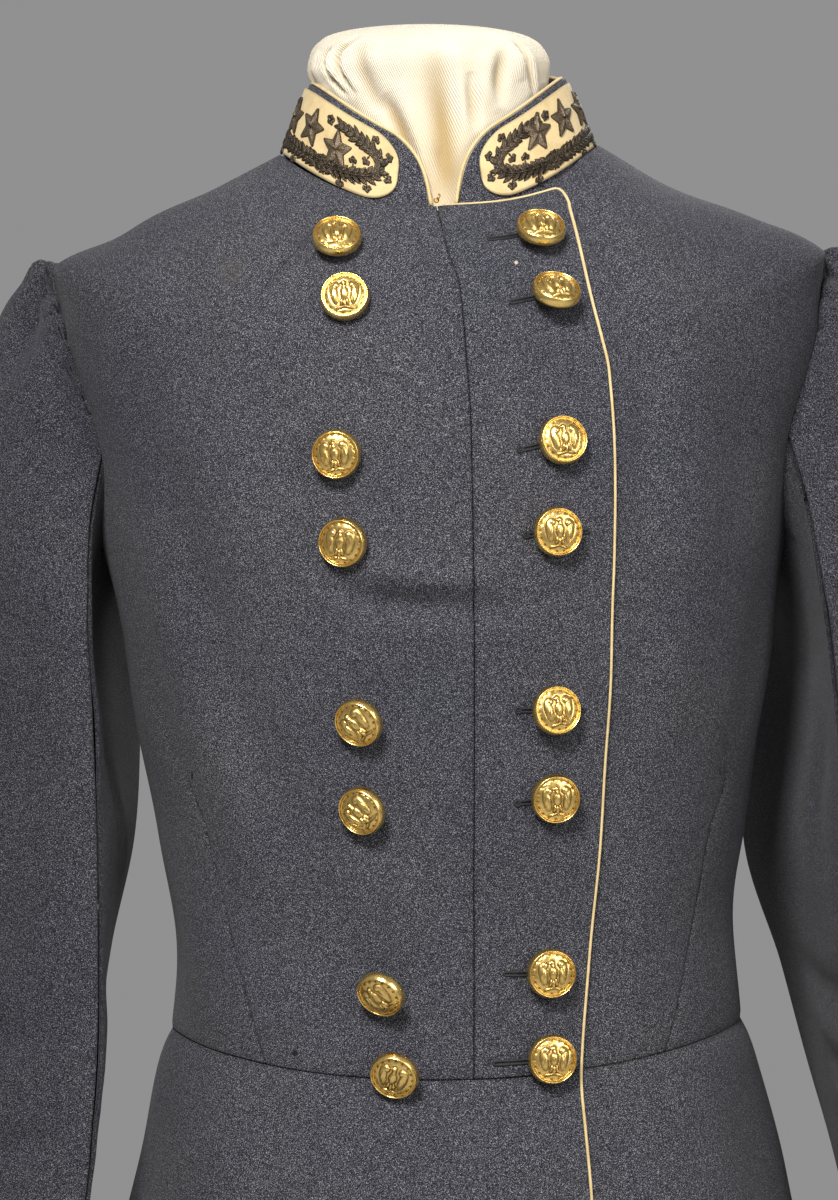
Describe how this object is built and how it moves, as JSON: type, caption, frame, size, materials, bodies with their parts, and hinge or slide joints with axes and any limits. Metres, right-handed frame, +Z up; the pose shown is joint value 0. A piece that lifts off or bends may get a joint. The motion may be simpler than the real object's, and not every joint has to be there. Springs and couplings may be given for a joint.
{
  "type": "frock coat on dress form",
  "caption": "Knee-length double-breasted wool frock coat with piped front, starred stand collar and domed buttons, on a limbless dress form with a round stand.",
  "frame": {"origin": "centre of the stand's base, on the floor", "axes": "+Z up, the coat's front faces -Y, +X towards the wearer's left"},
  "size_m": [0.5251, 0.4154, 1.4915],
  "materials": {
    "wool": "matt heathered blue-grey wool",
    "buff": "matt pale buff facing cloth",
    "bullion": "tarnished metal thread",
    "gilt": "bright gilt",
    "cotton": "cream cotton twill",
    "steel": "satin grey"
  },
  "bodies": {
    "root": {"forepart_right": "wool", "forepart_left": "wool", "lapel_right": "wool", "lapel_left": "wool", "side_body_right": "wool", "side_body_left": "wool", "back_right": "wool", "back_left": "wool", "skirt_right": "wool", "skirt_left": "wool", "top_sleeve_right": "wool", "top_sleeve_left": "wool", "under_sleeve_right": "wool", "under_sleeve_left": "wool", "collar": "wool", "collar_patch_right": "buff", "collar_patch_left": "buff", "front_piping": "buff", "collar_piping": "buff", "star_right_1": "bullion", "star_right_2": "bullion", "star_right_3": "bullion", "star_left_1": "bullion", "star_left_2": "bullion", "star_left_3": "bullion", "button_right_1": "gilt", "button_right_2": "gilt", "button_right_3": "gilt", "button_right_4": "gilt", "button_right_5": "gilt", "button_right_6": "gilt", "button_right_7": "gilt", "button_right_8": "gilt", "button_left_1": "gilt", "button_left_2": "gilt", "button_left_3": "gilt", "button_left_4": "gilt", "button_left_5": "gilt", "button_left_6": "gilt", "button_left_7": "gilt", "button_left_8": "gilt", "form_torso": "cotton", "stand_pole": "steel", "stand_base": "steel"}
  },
  "joints": []
}
